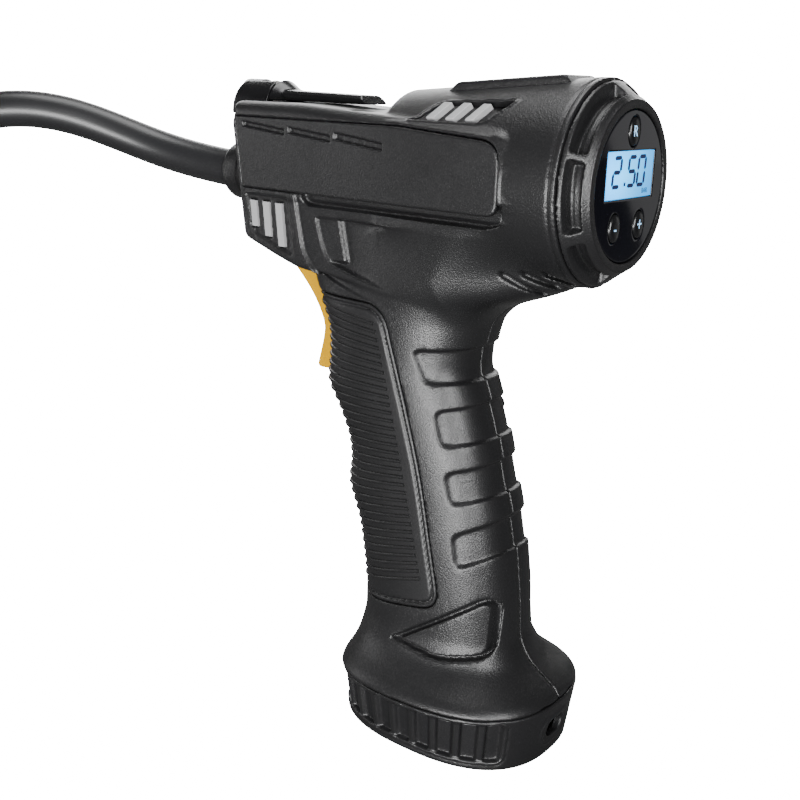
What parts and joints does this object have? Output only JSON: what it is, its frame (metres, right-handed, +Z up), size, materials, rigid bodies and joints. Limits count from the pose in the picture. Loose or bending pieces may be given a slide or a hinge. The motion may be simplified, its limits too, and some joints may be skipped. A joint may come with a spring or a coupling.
{
  "type": "tyre_inflator",
  "caption": "cordless pistol-grip tyre inflator with a round rear pressure display, a finger trigger, a lamp on the nose and a short air hose ending in a valve chuck",
  "frame": {"origin": "centre of the foot's flat underside", "axes": "+X towards the display end, +Z up, Y = 0 is the joint plane of the two casing shells"},
  "size_m": [0.4443, 0.1288, 0.2196],
  "materials": {
    "black_shell": "satin, fine grain",
    "black_rubber": "matte",
    "gloss_black": "glossy",
    "grey_trim": "satin",
    "smoked_glass": "glossy",
    "lit_screen": "lit",
    "board_green": "solder resist",
    "clear_white": "satin",
    "bare_aluminium": "as cast",
    "plain_steel": "bright",
    "copper_winding": "enamelled wire",
    "plain_brass": "turned",
    "yellow_trigger": "satin",
    "cell_wrap": "shrink wrap"
  },
  "bodies": {
    "casing": {"shell_left": "black_shell", "shell_right": "black_shell", "grip_insert": "black_rubber", "top_rail": "gloss_black", "top_pad": "black_shell", "base_cap": "black_shell", "side_panel_left": "black_shell", "upper_vent_left": "grey_trim", "nose_vent_left": "grey_trim", "side_panel_right": "black_shell", "upper_vent_right": "grey_trim", "nose_vent_right": "grey_trim", "casing_screw_1": "plain_steel", "casing_screw_2": "plain_steel", "casing_screw_3": "plain_steel", "casing_screw_4": "plain_steel", "casing_screw_5": "plain_steel", "casing_screw_6": "plain_steel", "rear_bezel": "black_shell", "display_lens": "smoked_glass", "lcd_panel": "lit_screen", "display_board": "board_green", "lamp_housing": "gloss_black", "lamp_lens": "clear_white", "lamp_reflector": "bare_aluminium", "lamp_board": "clear_white", "motor_can": "plain_steel", "motor_end_bell": "clear_white", "pump_frame": "bare_aluminium", "crank_bearing": "plain_steel", "cylinder_barrel": "bare_aluminium", "cylinder_head": "bare_aluminium", "air_tube": "black_rubber", "trigger_pin": "plain_steel", "trigger_spring": "plain_steel", "trigger_switch": "black_shell", "battery_cell_front": "cell_wrap", "battery_cell_rear": "cell_wrap", "battery_tray_lower": "black_shell", "battery_tray_upper": "black_shell", "main_board": "board_green", "pressure_sensor": "plain_steel", "charge_jack": "bare_aluminium", "hose_ferrule": "black_shell", "hose_barb": "plain_brass", "air_hose": "black_rubber", "valve_chuck": "plain_brass", "chuck_seal": "black_rubber"},
    "reset_button": {"button_reset": "gloss_black"},
    "minus_button": {"button_minus": "gloss_black"},
    "plus_button": {"button_plus": "gloss_black"},
    "trigger_blade": {"trigger": "yellow_trigger"},
    "crank": {"crank_gear": "clear_white", "crankshaft": "plain_steel"},
    "rotor": {"motor_rotor": "copper_winding", "drive_pinion": "plain_brass"},
    "piston_group": {"piston": "clear_white", "piston_seal": "black_rubber", "piston_pin": "plain_steel"},
    "rod": {"connecting_rod": "clear_white"}
  },
  "joints": [
    {"name": "trigger_pull", "type": "hinge", "parent": "casing", "child": "trigger_blade", "pos_m": [-0.058, 0, 0.161], "axis": [0, -1, 0], "range_deg": [0, 5.5], "stiffness_Nm_per_rad": 0.6, "springref_deg": -2.86, "deforming": ["trigger_spring"]},
    {"name": "reset_press", "type": "slide", "parent": "casing", "child": "reset_button", "axis": [-1, 0, 0], "range_m": [0, 0.0008], "stiffness_N_per_m": 400, "springref_m": -0.0002},
    {"name": "minus_press", "type": "slide", "parent": "casing", "child": "minus_button", "axis": [-1, 0, 0], "range_m": [0, 0.0008], "stiffness_N_per_m": 400, "springref_m": -0.0002},
    {"name": "plus_press", "type": "slide", "parent": "casing", "child": "plus_button", "axis": [-1, 0, 0], "range_m": [0, 0.0008], "stiffness_N_per_m": 400, "springref_m": -0.0002},
    {"name": "crank_spin", "type": "hinge", "parent": "casing", "child": "crank", "pos_m": [0.00724, 0, 0.1876], "axis": [0, 1, 0], "continuous": true},
    {"name": "motor_spin", "type": "hinge", "parent": "casing", "child": "rotor", "pos_m": [0.03, 0, 0.189], "axis": [0, 1, 0], "continuous": true},
    {"name": "piston_stroke", "type": "slide", "parent": "casing", "child": "piston_group", "axis": [1, 0, 0], "range_m": [0, 0.012]},
    {"name": "rod_swing", "type": "hinge", "parent": "piston_group", "child": "rod", "pos_m": [-0.02876, 0, 0.1876], "axis": [0, 1, 0], "range_deg": [-11.5, 11.5]}
  ],
  "couplings": [
    {"joint": "motor_spin", "follows": "crank_spin", "ratio": -4.7}
  ]
}
